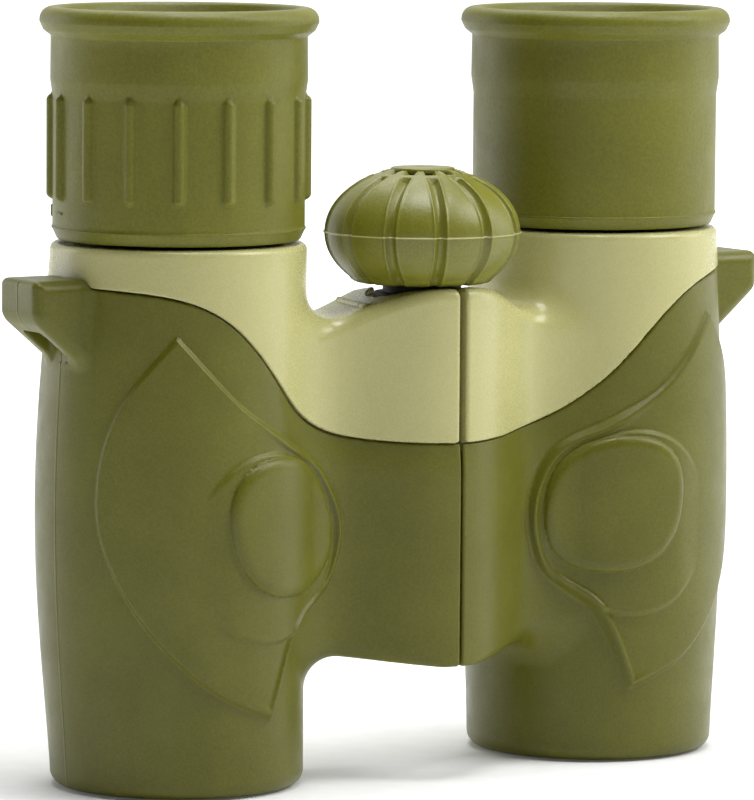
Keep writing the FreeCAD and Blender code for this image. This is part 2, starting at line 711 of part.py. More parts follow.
def carriage_parts():
    """The nut inside the axle, the spool outside it, and the pins that join them."""
    nut = ring(NUT_RADIUS, SCREW_RADIUS + RUNNING, NUT_FOOT, NUT_TOP, HINGE)
    spool = ring(SPOOL_RADIUS, TUBE_OUTER + RUNNING, SPOOL_MIDDLE - SPOOL_HALF,
                 SPOOL_MIDDLE + SPOOL_HALF, HINGE)
    spool = spool.cut(ring(SPOOL_RADIUS + 1, GROOVE_RADIUS, SPOOL_MIDDLE - GROOVE_HALF,
                           SPOOL_MIDDLE + GROOVE_HALF, HINGE))
    pins = []
    for sign in (-1, 1):
        start = HINGE + point(0, sign * PIN_START, SPOOL_MIDDLE)
        pins.append(Part.makeCylinder(PIN_RADIUS, PIN_LENGTH, start, point(0, sign, 0)))
    for pin in pins:
        nut = nut.cut(pin)
        spool = spool.cut(pin)
    write("focus_nut", nut)
    write("focus_spool", spool)
    write("carriage_pins", Part.makeCompound(pins))


def flattened_ball(radius, half_height):
    """A flattened ball about the knob's middle."""
    ball = Part.makeSphere(1.0)
    stretch = FreeCAD.Matrix()
    stretch.scale(radius, radius, half_height)
    ball = ball.transformGeometry(stretch)
    ball.translate(HINGE + point(0, 0, KNOB_MIDDLE))
    return ball


def knob_cover(stem):
    """The soft cover: a grooved, flattened ball that grips the core and seats the cap."""
    above = TOTAL_HEIGHT
    wide = 2 * KNOB_RADIUS
    cover = flattened_ball(KNOB_RADIUS, KNOB_HALF_HEIGHT)
    cover = cover.cut(disc(wide, 0, COVER_FOOT, HINGE)).cut(disc(wide, KNOB_SHOULDER, above, HINGE))
    cover = cover.cut(disc(CORE_RADIUS, 0, CORE_TOP, HINGE)).cut(stem)
    keep = flattened_ball(KNOB_RADIUS - KNOB_GROOVE_DEPTH, KNOB_HALF_HEIGHT - KNOB_GROOVE_DEPTH)
    for k in range(KNOB_GROOVES):
        blade = Part.makeBox(KNOB_RADIUS + 1, KNOB_GROOVE_WIDTH, 2 * KNOB_HALF_HEIGHT,
                             point(KNOB_GROOVE_INNER, -KNOB_GROOVE_WIDTH / 2, COVER_FOOT - 0.1))
        blade.rotate(point(0, 0, 0), UP, 360.0 * k / KNOB_GROOVES + GROOVE_START)
        blade.translate(HINGE)
        cover = cover.cut(blade.cut(keep))
    return cover


def knob_parts():
    core = disc(CORE_RADIUS, KNOB_FOOT, CORE_TOP, HINGE)
    core = core.cut(disc(TUBE_OUTER + RUNNING, KNOB_FOOT - 1, CORE_SOCKET_TOP, HINGE))
    screw = disc(SCREW_RADIUS, SCREW_FOOT, SCREW_HEAD_FOOT, HINGE)
    screw = join(screw, [disc(SCREW_HEAD_RADIUS, SCREW_HEAD_FOOT, SCREW_HEAD_TOP, HINGE)])
    stem = disc(CAP_STEM_RADIUS, SCREW_HEAD_TOP, CAP_STEM_TOP, HINGE)
    cap = join(disc(CAP_RADIUS, KNOB_SHOULDER, CAP_TOP, HINGE), [stem])
    write("knob_core", core.cut(screw).cut(stem))
    write("knob_cover", knob_cover(stem))
    write("knob_cap", cap)
    write("focus_screw", screw)
    clip = ring(CLIP_RING_RADIUS, SCREW_RADIUS, CLIP_RING_FOOT, CLIP_RING_TOP, HINGE)
    write("focus_clip", clip)


os.makedirs("parts", exist_ok=True)
write("left_housing", housing(LEFT_HUBS, TUBE_OUTER))
write("right_housing", mirrored(housing(RIGHT_HUBS, TUBE_OUTER + RUNNING)))
LEFT_ARMOUR = armour()
write("left_armour", LEFT_ARMOUR)
write("right_armour", mirrored(LEFT_ARMOUR))
for half_name in ("left", "right"):
    objective_parts(half_name)
    prism_parts(half_name)
    eyepiece_optics(half_name)
left_eyepiece()
right_eyepiece()
hinge_parts()
carriage_parts()
knob_parts()
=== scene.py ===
import json
import math

import bpy
import numpy as np
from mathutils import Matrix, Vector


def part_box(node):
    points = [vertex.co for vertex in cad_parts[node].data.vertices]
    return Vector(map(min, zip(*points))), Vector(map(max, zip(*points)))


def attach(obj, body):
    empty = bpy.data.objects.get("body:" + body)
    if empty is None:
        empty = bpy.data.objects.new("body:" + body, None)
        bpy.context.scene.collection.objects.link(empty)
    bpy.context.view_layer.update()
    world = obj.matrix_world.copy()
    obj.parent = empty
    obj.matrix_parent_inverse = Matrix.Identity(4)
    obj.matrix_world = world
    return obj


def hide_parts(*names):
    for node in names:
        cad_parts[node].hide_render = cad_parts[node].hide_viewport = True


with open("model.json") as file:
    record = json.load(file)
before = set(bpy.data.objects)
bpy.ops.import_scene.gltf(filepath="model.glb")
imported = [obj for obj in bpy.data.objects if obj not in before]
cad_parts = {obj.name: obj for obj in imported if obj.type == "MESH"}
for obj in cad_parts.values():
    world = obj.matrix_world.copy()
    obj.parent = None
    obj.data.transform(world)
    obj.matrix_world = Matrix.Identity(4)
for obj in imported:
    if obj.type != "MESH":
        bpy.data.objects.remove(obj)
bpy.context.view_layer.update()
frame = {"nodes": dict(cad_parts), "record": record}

import openvdb
from mathutils import Matrix, Vector

# Lengths in this script are millimetres until a mesh is made, and METRE turns them into metres.
METRE = 0.001


# ---------------------------------------------------------------------------------------------
# Places and sizes, read from the CAD frame

def low_mm(node):
    return np.array(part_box(node)[0]) / METRE


def high_mm(node):
    return np.array(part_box(node)[1]) / METRE


def middle_mm(node):
    return (low_mm(node) + high_mm(node)) / 2


BARREL_X, BARREL_Y = middle_mm("left_front_ring")[:2]
HINGE_Y = middle_mm("hinge_end_cap")[1]
TOTAL_HEIGHT = high_mm("left_eyecup")[2]
RIGHT_TOP = high_mm("right_eyecup")[2]
COLLAR_TOP = high_mm("left_housing")[2]
HINGE_IN = -BARREL_X
HINGE_BACK = HINGE_Y - BARREL_Y
WEB_LENGTH = math.hypot(HINGE_IN, HINGE_BACK)
LUG_REACH = BARREL_X - low_mm("left_armour")[0]

# Barrel skin
SKIN_RADIUS = 16.45
BULGE_GROWTH = 1.0
BULGE_SHIFT = 0.75
BULGE_FOOT = 2.0
BULGE_LENGTH = COLLAR_TOP - 1.0 - BULGE_FOOT
BULGE_POWER = 1.15
FOOT_ROUND = 1.95
COLLAR_ROUND = 0.9
TUBE_RADIUS = 15.0
TUBE_FOOT = 1.2
RECESS_RADIUS = 13.2
BORE_RADIUS = 13.4
GUIDE_RADIUS = 12.06
GUIDE_TOP = 21.0

# Wing
HINGE_RADIUS = 9.8
WEB_HALF = 7.1
WEB_BLEND = 5.0
BARREL_BLEND = 4.5
WING_TOP = 63.9
WING_DIP = 5.0
WING_DIP_LENGTH = 20.0
WING_FOOT = 14.85
WING_FOOT_RISE = 0.1
WING_TOP_ROUND = 1.4
WING_TOP_ROUND_RISE = 0.05
WING_FOOT_ROUND = 0.8
WING_FOOT_ROUND_RISE = 0.14
ARMOUR_THICKNESS = 1.4
HINGE_CAVITY = 6.6
HINGE_MOUTH = 7.2
MOUTH_FOOT = 62.2
HUB_RADIUS = 6.2
HUB_ARM = 10.0
HUB_ARM_HALF = 5.6
AXLE_RADIUS = 3.4
CORE_UNDER = 4.6
TONGUE_UNDER = 5.0
CELL_BORE_TOP = 4.4
CELL_BORE_RADIUS = 12.9
RECESS_TOP = 3.0
REAR_ANGLE = 26.0
LEFT_HUBS = [(17.0, 20.5), (40.7, 46.3), (55.0, 62.0)]
RIGHT_HUBS = [(34.0, 40.0), (47.0, 54.3)]

# Line between the bare housing and the armour
SPLIT_MIDDLE_Z = 54.6
SPLIT_RISE = 10.6
SPLIT_MIDDLE_IN = 4.3
SPLIT_WIDTH = 9.5
SPLIT_GAP = 0.14
ARMOUR_DROP = 0.12
EDGE_DROP = 0.3
EDGE_REACH = 2.6

# Widest line of the focus knob
KNOB_MIDDLE = 70.7

# Strap lug
LUG_HALF = 5.2
LUG_TRIM = 0.3
LUG_TOP = 66.0
LUG_FACE_FOOT = 61.0
LUG_UNDER_OUT = 5.9
LUG_UNDER_DOWN = 5.0
LUG_EDGE_ROUND = 0.9
LUG_SIDE_ROUND = 1.6
LUG_ROOT = 8.0
SLOT_ROUND = 0.7
SLOT_MIDDLE_OUT = 19.3
SLOT_HALF_OUT = 2.1
SLOT_FOOT = 55.3
SLOT_HALF_ACROSS = 2.4
SLOT_ROOF = 64.0
SLOT_EXIT_FOOT = 60.0


# ---------------------------------------------------------------------------------------------
# Distance fields.  u runs inward from the -X barrel's axis to the hinge, v runs to the back and
# z up.  Each field is negative inside and positive outside.

def round_union(a, b, radius):
    dip = np.hypot(np.maximum(radius - a, 0), np.maximum(radius - b, 0))
    return np.maximum(radius, np.minimum(a, b)) - dip


def round_overlap(a, b, radius):
    rise = np.hypot(np.maximum(radius + a, 0), np.maximum(radius + b, 0))
    return np.minimum(-radius, np.maximum(a, b)) + rise


def smooth_step(t):
    t = np.clip(t, 0, 1)
    return t * t * (3 - 2 * t)


def bulge(z):
    wave = np.sin(np.pi * np.clip((z - BULGE_FOOT) / BULGE_LENGTH, 0, 1))
    return np.maximum(wave, 0) ** BULGE_POWER


def barrel_field(u, v, z):
    grow = bulge(z)
    side = np.hypot(u + BULGE_SHIFT * grow, v - BULGE_SHIFT * grow)
    side = side - SKIN_RADIUS - BULGE_GROWTH * grow
    return round_overlap(round_overlap(side, -z, FOOT_ROUND), z - COLLAR_TOP, COLLAR_ROUND)


def hinge_coordinates(u, v):
    """Distance along the web from the hinge axis, and across it."""
    hu = u - HINGE_IN
    hv = v - HINGE_BACK
    along = (-hu * HINGE_IN - hv * HINGE_BACK) / WEB_LENGTH
    across = (hu * HINGE_BACK - hv * HINGE_IN) / WEB_LENGTH
    return along, across, np.hypot(hu, hv)


def wing_profile(u, v):
    along, across, radius = hinge_coordinates(u, v)
    web = np.maximum(np.abs(across) - WEB_HALF, np.maximum(-along, along - WEB_LENGTH))
    return round_union(radius - HINGE_RADIUS, web, WEB_BLEND)


def wing_field(u, v, z, inset=0.0):
    along = np.clip(hinge_coordinates(u, v)[0], 0, WING_DIP_LENGTH)
    top = WING_TOP - WING_DIP * (1 - np.cos(np.pi * along / WING_DIP_LENGTH)) / 2
    foot = WING_FOOT + WING_FOOT_RISE * along
    body = wing_profile(u, v) + inset
    body = round_overlap(body, z - top, WING_TOP_ROUND + WING_TOP_ROUND_RISE * along)
    foot_round = WING_FOOT_ROUND + WING_FOOT_ROUND_RISE * along
    return round_overlap(body, foot + inset - z, foot_round)


def skin_field(u, v, z):
    return round_union(barrel_field(u, v, z), wing_field(u, v, z), BARREL_BLEND)


def core_field(u, v, z):
    tube = np.maximum(np.hypot(u, v) - TUBE_RADIUS, TUBE_FOOT - z)
    wing = wing_field(u, v, z, ARMOUR_THICKNESS)
    return np.minimum(np.maximum(tube, z - COLLAR_TOP), wing)


def seam_field(u, v, gap):
    """Positive past the front seam or inside the rear fold gap."""
    hu = u - HINGE_IN
    hv = v - HINGE_BACK
    rear = math.radians(90 + REAR_ANGLE)
    return hu + gap, hu * math.sin(rear) - hv * math.cos(rear)


def cut_seam(body, u, v, gap, radius):
    front, rear = seam_field(u, v, gap)
    return round_overlap(round_overlap(body, front, radius), rear, radius)


def hinge_well_field(u, v, z):
    """The round well that holds the hinge, with a wider mouth at the top."""
    radius = hinge_coordinates(u, v)[2]
    return np.minimum(radius - HINGE_CAVITY, np.maximum(radius - HINGE_MOUTH, MOUTH_FOOT - z))


def split_field(u, z):
    """Signed distance above the line where the armour ends and the bare housing begins."""
    wave = np.tanh((SPLIT_MIDDLE_IN - u) / SPLIT_WIDTH)
    slope = SPLIT_RISE / SPLIT_WIDTH * (1 - wave * wave)
    return (z - SPLIT_MIDDLE_Z - SPLIT_RISE * wave) / np.sqrt(1 + slope * slope)


def lug_field(u, v, z):
    """The strap lug: a block with a sloped underside, standing out from the barrel."""
    out = -u
    beyond = out - LUG_REACH + LUG_TRIM
    steep = math.hypot(LUG_UNDER_OUT, LUG_UNDER_DOWN)
    under = beyond * LUG_UNDER_DOWN - (z - LUG_FACE_FOOT) * LUG_UNDER_OUT
    block = round_overlap(beyond, z - LUG_TOP, LUG_EDGE_ROUND)
    block = round_overlap(block, under / steep, LUG_EDGE_ROUND)
    block = round_overlap(block, np.abs(v) - LUG_HALF, LUG_SIDE_ROUND)
    return np.maximum(block, LUG_ROOT - out)


def slot_field(u, v, z):
    """The strap slot: up into the lug from below, and out at the back."""
    out = np.abs(-u - SLOT_MIDDLE_OUT) - SLOT_HALF_OUT
    rise = round_overlap(out, np.abs(v) - SLOT_HALF_ACROSS, SLOT_ROUND)
    rise = np.maximum(rise, z - SLOT_ROOF)
    rise = np.maximum(rise, SLOT_FOOT - z)
    level = np.abs(z - (SLOT_ROOF + SLOT_EXIT_FOOT) / 2) - (SLOT_ROOF - SLOT_EXIT_FOOT) / 2
    way_out = np.maximum(round_overlap(out, level, SLOT_ROUND), np.abs(v - LUG_HALF) - LUG_HALF)
    return np.minimum(rise, way_out)


# Raised leaf and thumb pad.  Their outlines are (distance round, height) places, the distance
# being measured outward from the foremost line of the barrel.
RELIEF_RADIUS = 17.6
LEAF_TIP = (9.5, 59.0)
LEAF_FOOT = (-4.5, 10.0)
LEAF_INNER = [LEAF_TIP, (1.0, 50.5), (-7.0, 45.5), (-14.0, 41.5), (-17.5, 34.0), (-15.5, 26.0),
              (-9.0, 20.5), LEAF_FOOT]
LEAF_OUTER = [LEAF_FOOT, (5.0, 14.5), (13.5, 22.5), (19.0, 32.0), (20.0, 40.5), (17.0, 50.0),
              LEAF_TIP]
PAD_MIDDLE = (-6.5, 34.5)
PAD_HALF = 9.0
PAD_LEAN = 0.12
PAD_SQUARENESS = 2.3
PAD_STEPS = 120
STEP_WIDTH = 0.75
LEAF_HEIGHT = 0.68
RIM_HEIGHT = 0.42
RIM_INSET = 0.6
RIM_HALF = 0.42
DISC_MIDDLE = (-4.2, 31.95)
DISC_HALF = (11.6, 12.1)
DISC_HEIGHT = 0.46
PAD_HEIGHT = 0.92
PAD_ROUND = 1.5
MAP_STEP = 0.1
MAP_LOW = (-20.0, 7.0)
MAP_HIGH = (23.0, 62.0)


def smooth_line(points, per_span=24):
    """A smooth line through the points, without its last point."""
    points = np.array(points, float)
    padded = np.vstack([2 * points[0] - points[1], points, 2 * points[-1] - points[-2]])
    t = np.linspace(0, 1, per_span, endpoint=False)[:, None]
    spans = []
    for k in range(len(padded) - 3):
        a, b, c, d = padded[k:k + 4]
        spans.append(0.5 * (2 * b + (c - a) * t + (2 * a - 5 * b + 4 * c - d) * t ** 2
                            + (3 * b - a - 3 * c + d) * t ** 3))
    return np.vstack(spans)


def pad_outline():
    """The thumb pad's edge: a rounded square that leans outward as it rises."""
    turn = np.linspace(0, 2 * math.pi, PAD_STEPS, endpoint=False)
    along, up = np.cos(turn), np.sin(turn)
    along = PAD_HALF * np.sign(along) * np.abs(along) ** (2 / PAD_SQUARENESS)
    up = PAD_HALF * np.sign(up) * np.abs(up) ** (2 / PAD_SQUARENESS)
    return np.stack([PAD_MIDDLE[0] + along + PAD_LEAN * up, PAD_MIDDLE[1] + up], 1)


def outline_distance(outline, px, pz):
    """Signed distance to a closed outline on a grid, negative inside."""
    best = np.full(px.shape, 1e9)
    inside = np.zeros(px.shape, bool)
    for (ax, az), (bx, bz) in zip(outline, np.roll(outline, -1, axis=0)):
        ex, ez = bx - ax, bz - az
        t = np.clip(((px - ax) * ex + (pz - az) * ez) / max(ex * ex + ez * ez, 1e-12), 0, 1)
        best = np.minimum(best, (px - ax - t * ex) ** 2 + (pz - az - t * ez) ** 2)
        if az != bz:
            crosses = (az > pz) != (bz > pz)
            inside ^= crosses & (px < ax + (pz - az) * ex / (bz - az))
    return np.where(inside, -1, 1) * np.sqrt(best)


def relief_map():
    """Height of the moulded relief over the unrolled barrel, on a regular grid."""
    across = np.arange(MAP_LOW[0], MAP_HIGH[0], MAP_STEP)
    rise = np.arange(MAP_LOW[1], MAP_HIGH[1], MAP_STEP)
    px, pz = np.meshgrid(across, rise, indexing="ij")
    outline = np.vstack([smooth_line(LEAF_INNER), smooth_line(LEAF_OUTER)])
    leaf = outline_distance(outline, px, pz)
    height = LEAF_HEIGHT * smooth_step(0.5 - leaf / STEP_WIDTH)
    inner_side = smooth_step((-px - 1.0) / 6.0)
    height += RIM_HEIGHT * np.exp(-((leaf + RIM_INSET) / RIM_HALF) ** 2) * inner_side
    reach = np.hypot((px - DISC_MIDDLE[0]) / DISC_HALF[0], (pz - DISC_MIDDLE[1]) / DISC_HALF[1])
    disc = (reach - 1) * min(DISC_HALF)
    fade = 1 - smooth_step((px - 1.5) / 5.0)
    height += DISC_HEIGHT * smooth_step(0.5 - disc / STEP_WIDTH) * fade
    pad = -outline_distance(pad_outline(), px, pz)
    crown = np.sqrt(np.maximum(0, 1 - (1 - np.clip(pad / PAD_ROUND, 0, 1)) ** 2))
    return height + PAD_HEIGHT * crown


RELIEF = relief_map()


def relief(u, v, z):
    """Relief height above the skin at a point, read from the unrolled map."""
    across = np.where(u > 0, -u, np.arctan2(-u, -v) * RELIEF_RADIUS)
    across, z = np.broadcast_arrays(across, z)
    fx = np.clip((across - MAP_LOW[0]) / MAP_STEP, 0, RELIEF.shape[0] - 1.001)
    fz = np.clip((z - MAP_LOW[1]) / MAP_STEP, 0, RELIEF.shape[1] - 1.001)
    ix = fx.astype(int)
    iz = fz.astype(int)
    tx = fx - ix
    tz = fz - iz
    low = RELIEF[ix, iz] * (1 - tx) + RELIEF[ix + 1, iz] * tx
    high = RELIEF[ix, iz + 1] * (1 - tx) + RELIEF[ix + 1, iz + 1] * tx
    return np.where(v < 0, low * (1 - tz) + high * tz, 0)


def armour_field(u, v, z):
    """The rubber sleeve: the skin with its relief, ended at the split line, and the lug."""
    split = split_field(u, z)
    drop = EDGE_DROP * smooth_step((u - 3) / 8) * np.exp(-(split / EDGE_REACH) ** 2)
    outer = skin_field(u, v, z) + ARMOUR_DROP + drop - relief(u, v, z)
    outer = round_overlap(outer, split + SPLIT_GAP, 0.25)
    outer = round_union(outer, lug_field(u, v, z), 1.0)
    outer = np.maximum(outer, -core_field(u, v, z) + 0.02)
    light = np.maximum(skin_field(u, v, z), -split)
    outer = np.maximum(outer, 0.1 - light)
    outer = cut_seam(outer, u, v, 0.17, 0.35)
    outer = np.maximum(outer, -hinge_well_field(u, v, z))
    outer = round_overlap(outer, -slot_field(u, v, z), 0.3)
    return np.maximum(outer, RECESS_RADIUS - np.hypot(u, v))


def shell_field(u, v, z):
    """The bare, pale part of the housing, with a tongue that runs down under the armour."""
    split = split_field(u, z)
    bare = round_overlap(skin_field(u, v, z), SPLIT_GAP * 0.3 - split, 0.15)
    under = np.maximum(core_field(u, v, z), -TONGUE_UNDER - split)
    body = np.minimum(bare, under)
    body = np.maximum(body, BORE_RADIUS - np.hypot(u, v))
    body = cut_seam(body, u, v, 0.48, 0.55)
    return np.maximum(body, -hinge_well_field(u, v, z))


def hub_field(u, v, z, spans):
    """The hinge knuckles of one half, each with an arm to its wing."""
    along, across, radius = hinge_coordinates(u, v)
    arm = np.maximum(np.abs(across) - HUB_ARM_HALF, np.maximum(-along, along - HUB_ARM))
    front, rear = seam_field(u, v, 0.42)
    section = np.minimum(radius - HUB_RADIUS, np.maximum(arm, np.maximum(front, rear)))
    best = None
    for foot, top in spans:
        hub = np.maximum(section, np.maximum(foot - z, z - top))
        best = hub if best is None else np.minimum(best, hub)
    return np.maximum(best, AXLE_RADIUS - radius)


def core_piece_field(spans):
    """The part of the housing that the armour covers, with its bore and hinge knuckles."""
    def field(u, v, z):
        body = np.maximum(core_field(u, v, z), split_field(u, z) + CORE_UNDER)
        reach = np.hypot(u, v)
        bore = np.where(z < GUIDE_TOP, GUIDE_RADIUS, BORE_RADIUS)
        bore = np.where(z < CELL_BORE_TOP, CELL_BORE_RADIUS, bore)
        bore = np.where(z < RECESS_TOP, RECESS_RADIUS, bore)
        body = np.maximum(body, bore - reach)
        body = cut_seam(body, u, v, 0.48, 0.3)
        body = np.maximum(body, -hinge_well_field(u, v, z))
        return np.minimum(body, hub_field(u, v, z, spans))
    return field


# ---------------------------------------------------------------------------------------------
# Meshes

def gradient(field, points, step=0.02):
    parts = []
    for axis in range(3):
        shift = np.zeros(3)
        shift[axis] = step
        ahead = field(*(points + shift).T)
        behind = field(*(points - shift).T)
        parts.append((ahead - behind) / (2 * step))
    return np.stack(parts, 1)


def skin_mesh(field, low, high, voxel):
    """Quads over the zero level of a field, each point moved onto it, with exact normals."""
    axes = [np.arange(a, b + voxel, voxel) for a, b in zip(low, high)]
    u, v, z = np.meshgrid(*axes, indexing="ij", sparse=True)
    values = np.broadcast_to(field(u, v, z), [len(a) for a in axes])
    grid = openvdb.FloatGrid(3.0)
    grid.copyFromArray(np.ascontiguousarray(values, dtype=np.float32))
    points, quads = grid.convertToQuads(isovalue=0.0)
    points = points.astype(float) * voxel + np.array(low)
    for _ in range(3):
        value = field(*points.T)
        slope = gradient(field, points)
        size = np.maximum((slope ** 2).sum(1), 0.2)
        move = slope * (value / size)[:, None]
        length = np.linalg.norm(move, axis=1, keepdims=True)
        points -= move * np.minimum(1, voxel * 0.5 / np.maximum(length, 1e-9))
    normals = gradient(field, points)
    normals /= np.maximum(np.linalg.norm(normals, axis=1, keepdims=True), 1e-9)
    a, b, c = points[quads[:, 0]], points[quads[:, 1]], points[quads[:, 2]]
    facing = (np.cross(b - a, c - a) * normals[quads[:, 0]]).sum(1)
    if np.median(facing) < 0:
        quads = quads[:, ::-1]
    return points, quads, normals


def make_object(name, points, faces, normals=None):
    """An object from arrays in row-frame millimetres; faces is an (n, 3) or (n, 4) array."""
    mesh = bpy.data.meshes.new(name)
    count = faces.shape[1]
    mesh.vertices.add(len(points))
    mesh.vertices.foreach_set("co", (np.asarray(points) * METRE).ravel().astype(np.float32))
    mesh.loops.add(faces.size)
    mesh.loops.foreach_set("vertex_index", np.ascontiguousarray(faces).ravel().astype(np.int32))
    mesh.polygons.add(len(faces))
    mesh.polygons.foreach_set("loop_start", np.arange(0, faces.size, count, dtype=np.int32))
    mesh.update(calc_edges=True)
    mesh.validate()
    mesh.shade_smooth()
    if normals is not None:
        mesh.normals_split_custom_set_from_vertices(normals)
    made = bpy.data.objects.new(name, mesh)
    bpy.context.scene.collection.objects.link(made)
    return made


def to_row(points, side):
    """Barrel coordinates to the row frame, for the -X half or its mirror image."""
    moved = points + np.array([BARREL_X, BARREL_Y, 0.0])
    return moved * (-1, 1, 1) if side == "right" else moved


def place_skin(name, skin, side):
    points, quads, normals = skin
    if side == "right":
        quads = quads[:, ::-1]
        normals = normals * (-1, 1, 1)
    return make_object(name, to_row(points, side), quads, normals)


def rounded(corners, fine=0.12):
    """A closed outline from (radius, z, rounding) corners, with arcs at the rounded ones."""
    line = []
    total = len(corners)
    for k, (r, z, rounding) in enumerate(corners):
        here = np.array([r, z], float)
        before = np.array(corners[k - 1][:2], float) - here
        after = np.array(corners[(k + 1) % total][:2], float) - here
        before /= np.linalg.norm(before)
        after /= np.linalg.norm(after)
        half = math.acos(max(-1, min(1, float(before @ after)))) / 2
        if rounding <= 0 or half > math.pi / 2 - 0.01:
            line.append(here)
            continue
        reach = rounding / math.tan(half)
        middle = (before + after) / np.linalg.norm(before + after)
        centre = here + middle * rounding / math.sin(half)
        start = here + before * reach - centre
        end = here + after * reach - centre
        turn = math.pi - 2 * half
        steps = max(2, int(turn * rounding / fine))
        sign = 1 if start[0] * end[1] - start[1] * end[0] > 0 else -1
        for j in range(steps + 1):
            angle = sign * turn * j / steps
            spin = np.array([[math.cos(angle), -math.sin(angle)],
                             [math.sin(angle), math.cos(angle)]])
            line.append(centre + spin @ start)
    return np.array(line)


def refine(line, longest):
    """Adds points so that no stretch between z-neighbours is longer than given."""
    out = []
    for a, b in zip(line, np.roll(line, -1, axis=0)):
        limit = longest(a, b)
        steps = max(1, int(math.ceil(np.linalg.norm(b - a) / limit)))
        for j in range(steps):
            out.append(a + (b - a) * j / steps)
    return np.array(out)


def lathe(name, line, angles, centre, shape=None):
    """Turns a closed (radius, z) outline about the vertical through centre."""
    rows, columns = len(line), len(angles)
    radius = np.repeat(line[:, 0][:, None], columns, 1)
    height = np.repeat(line[:, 1][:, None], columns, 1)
    turn = np.repeat(angles[None, :], rows, 0)
    if shape is not None:
        radius, height = shape(radius, height, turn)
    points = np.stack([centre[0] + radius * np.cos(turn), centre[1] + radius * np.sin(turn),
                       height], 2).reshape(-1, 3)
    index = np.arange(rows * columns).reshape(rows, columns)
    down = np.roll(index, -1, axis=0)
    faces = np.stack([index, np.roll(index, -1, 1), np.roll(down, -1, 1), down], 2)
    faces = faces.reshape(-1, 4)
    following = np.roll(line, -1, axis=0)
    area = 0.5 * np.sum(line[:, 0] * following[:, 1] - following[:, 0] * line[:, 1])
    if area < 0:
        faces = faces[:, ::-1]
    return make_object(name, points, faces)


def even_angles(count):
    return np.linspace(0, 2 * math.pi, count, endpoint=False)


LEFT_BARREL = (BARREL_X, BARREL_Y)
RIGHT_BARREL = (-BARREL_X, BARREL_Y)
HINGE_AXIS = (0.0, HINGE_Y)


# ---------------------------------------------------------------------------------------------
# Materials

def srgb(red, green, blue):
    def linear(value):
        value = value / 255
        return value / 12.92 if value <= 0.04045 else ((value + 0.055) / 1.055) ** 2.4
    return (linear(red), linear(green), linear(blue), 1.0)


class Shader:
    """A node material under construction."""

    def __init__(self, name):
        self.material = bpy.data.materials.new(name)
        self.material.use_nodes = True
        self.tree = self.material.node_tree
        self.surface = self.tree.nodes["Principled BSDF"]
        self.place = self.tree.nodes.new("ShaderNodeTexCoord").outputs["Object"]
        self.normal = None

    def node(self, kind, **inputs):
        made = self.tree.nodes.new(kind)
        for key, value in inputs.items():
            socket = made.inputs[key.replace("_", " ")]
            if isinstance(value, bpy.types.NodeSocket):
                self.tree.links.new(value, socket)
            else:
                socket.default_value = value
        return made

    def noise(self, scale, detail=3.0, roughness=0.6):
        made = self.node("ShaderNodeTexNoise", Vector=self.place, Scale=scale, Detail=detail,
                         Roughness=roughness)
        return made.outputs["Fac"]

    def ramp(self, value, stops):
        made = self.tree.nodes.new("ShaderNodeValToRGB")
        self.tree.links.new(value, made.inputs["Fac"])
        elements = made.color_ramp.elements
        while len(elements) < len(stops):
            elements.new(0.5)
        for element, (position, colour) in zip(elements, stops):
            element.position = position
            element.color = colour
        return made.outputs["Color"]

    def remap(self, value, low, high, to_low, to_high):
        made = self.tree.nodes.new("ShaderNodeMapRange")
        self.tree.links.new(value, made.inputs["Value"])
        for key, number in (("From Min", low), ("From Max", high), ("To Min", to_low),
                            ("To Max", to_high)):
            made.inputs[key].default_value = number
        return made.outputs["Result"]

    def mix(self, factor, first, second, blend="MIX"):
        made = self.tree.nodes.new("ShaderNodeMix")
        made.data_type = "RGBA"
        made.blend_type = blend
        for socket, value in ((made.inputs[0], factor), (made.inputs[6], first),
                              (made.inputs[7], second)):
            if isinstance(value, bpy.types.NodeSocket):
                self.tree.links.new(value, socket)
            else:
                socket.default_value = value
        return made.outputs[2]

    def bump(self, height, strength, distance):
        made = self.tree.nodes.new("ShaderNodeBump")
        made.inputs["Strength"].default_value = strength
        made.inputs["Distance"].default_value = distance
        self.tree.links.new(height, made.inputs["Height"])
        if self.normal is not None:
            self.tree.links.new(self.normal, made.inputs["Normal"])
        self.normal = made.outputs["Normal"]

    def set(self, **inputs):
        for key, value in inputs.items():
            socket = self.surface.inputs[key.replace("_", " ")]
            if isinstance(value, bpy.types.NodeSocket):
                self.tree.links.new(value, socket)
            else:
                socket.default_value = value

    def done(self):
        if self.normal is not None:
            self.tree.links.new(self.normal, self.surface.inputs["Normal"])
        return self.material


BLACK = (0.0, 0.0, 0.0, 1.0)
WHITE = (1.0, 1.0, 1.0, 1.0)


PARTING_HALF = 0.28 * METRE


def parting_line(shader):
    """The fine raised line the mould leaves down the outer side of each barrel."""
    split = shader.node("ShaderNodeSeparateXYZ", Vector=shader.place)
    middle = BARREL_Y * METRE
    across = shader.remap(split.outputs["Y"], middle - PARTING_HALF, middle + PARTING_HALF, 0.0, 1.0)
    ridge = shader.ramp(across, [(0.0, BLACK), (0.5, WHITE), (1.0, BLACK)])
    reach = 2 * BARREL_X * METRE
    outward = shader.remap(split.outputs["X"], -reach, reach, 0.0, 1.0)
    outside = shader.ramp(outward, [(0.22, WHITE), (0.24, BLACK), (0.76, BLACK),
                                    (0.78, WHITE)])
    shader.bump(shader.mix(1.0, ridge, outside, "MULTIPLY"), 0.6, 0.00012)


FLASH_HEIGHT = KNOB_MIDDLE * METRE
FLASH_HALF = 0.22 * METRE


